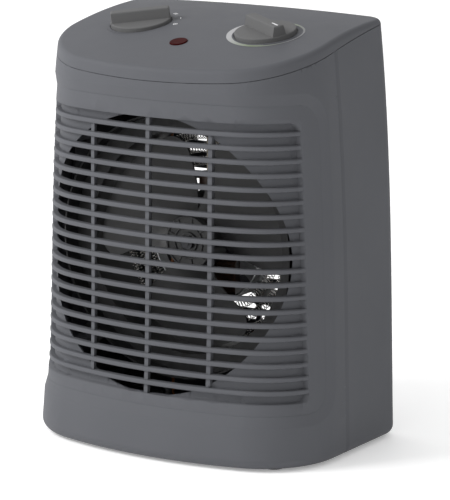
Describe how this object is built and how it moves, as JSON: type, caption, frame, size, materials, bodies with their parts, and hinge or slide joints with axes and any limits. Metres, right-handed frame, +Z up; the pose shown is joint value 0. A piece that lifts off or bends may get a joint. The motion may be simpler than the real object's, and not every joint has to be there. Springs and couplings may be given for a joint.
{
  "type": "tabletop fan heater",
  "caption": "Upright tabletop fan heater: slatted front outlet, two bar-grip knobs and a pilot lamp on a sloping top, axial fan and ring heater inside.",
  "frame": {"origin": "on the surface the feet stand on, under the middle of the housing's box", "axes": "+X to the right of someone facing the slatted outlet, +Y from the outlet to the back, +Z up"},
  "size_m": [0.2654, 0.1757, 0.3417],
  "materials": {
    "housing": "satin, finely textured",
    "knob": "satin",
    "rubber": "matte",
    "zinc_screw": "zinc plated",
    "steel_sheet": "galvanised",
    "duct": "satin sheet",
    "fan": "satin",
    "lamination": "varnished laminations",
    "winding": "taped copper winding",
    "shaft": "ground",
    "bronze": "sintered bronze",
    "mica": "layered mica",
    "heating_wire": "bright resistance wire",
    "ceramic_white": "unglazed",
    "phenolic": "moulded",
    "brass": "plain",
    "lens": "dark red, clear",
    "glass": "clear",
    "white_plastic": "moulded",
    "wire_cover": "sleeved"
  },
  "bodies": {
    "housing": {"front_shell": "housing", "rear_shell": "housing", "top_cover": "housing", "base_plate": "steel_sheet", "rubber_feet": "rubber", "base_screws": "zinc_screw", "shell_screws": "zinc_screw", "cord_bushing": "rubber", "terminal_block": "white_plastic", "terminal_screws": "brass", "internal_wires": "wire_cover", "selector_switch": "phenolic", "switch_tags": "brass", "thermostat_body": "ceramic_white", "bimetal_strip": "steel_sheet", "control_plate": "steel_sheet", "bush_nuts": "brass", "plate_screws": "zinc_screw", "pilot_lens": "lens", "lamp_holder": "white_plastic", "neon_lamp": "glass", "air_duct": "duct", "duct_screws": "zinc_screw", "mica_boards": "mica", "heat_sleeve": "steel_sheet", "heating_coil_inner": "heating_wire", "heating_coil_middle": "heating_wire", "heating_coil_outer": "heating_wire", "thermal_cutout": "phenolic", "thermal_fuse": "ceramic_white", "motor_bracket": "steel_sheet", "mount_screws": "zinc_screw", "motor_stator": "lamination", "motor_winding": "winding", "front_bearing_bracket": "steel_sheet", "rear_bearing_bracket": "steel_sheet", "front_bearing": "bronze", "rear_bearing": "bronze", "motor_screws": "zinc_screw"},
    "fan_rotor": {"fan_impeller": "fan", "motor_shaft": "shaft", "motor_rotor": "shaft", "fan_clip": "zinc_screw"},
    "function_dial": {"function_knob": "knob", "selector_shaft": "brass"},
    "thermostat_dial": {"thermostat_knob": "knob", "thermostat_spindle": "brass"}
  },
  "joints": [
    {"name": "impeller_spin", "type": "hinge", "parent": "housing", "child": "fan_rotor", "pos_m": [0, 0, 0.16035], "axis": [0, 1, 0], "continuous": true},
    {"name": "function_knob_turn", "type": "hinge", "parent": "housing", "child": "function_dial", "pos_m": [-0.058, 0.0029, 0.32809], "axis": [0, -0.1876, 0.9822], "range_deg": [-30, 60]},
    {"name": "thermostat_knob_turn", "type": "hinge", "parent": "housing", "child": "thermostat_dial", "pos_m": [0.058, 0.0029, 0.32809], "axis": [0, -0.1876, 0.9822], "range_deg": [-180, 75]}
  ]
}
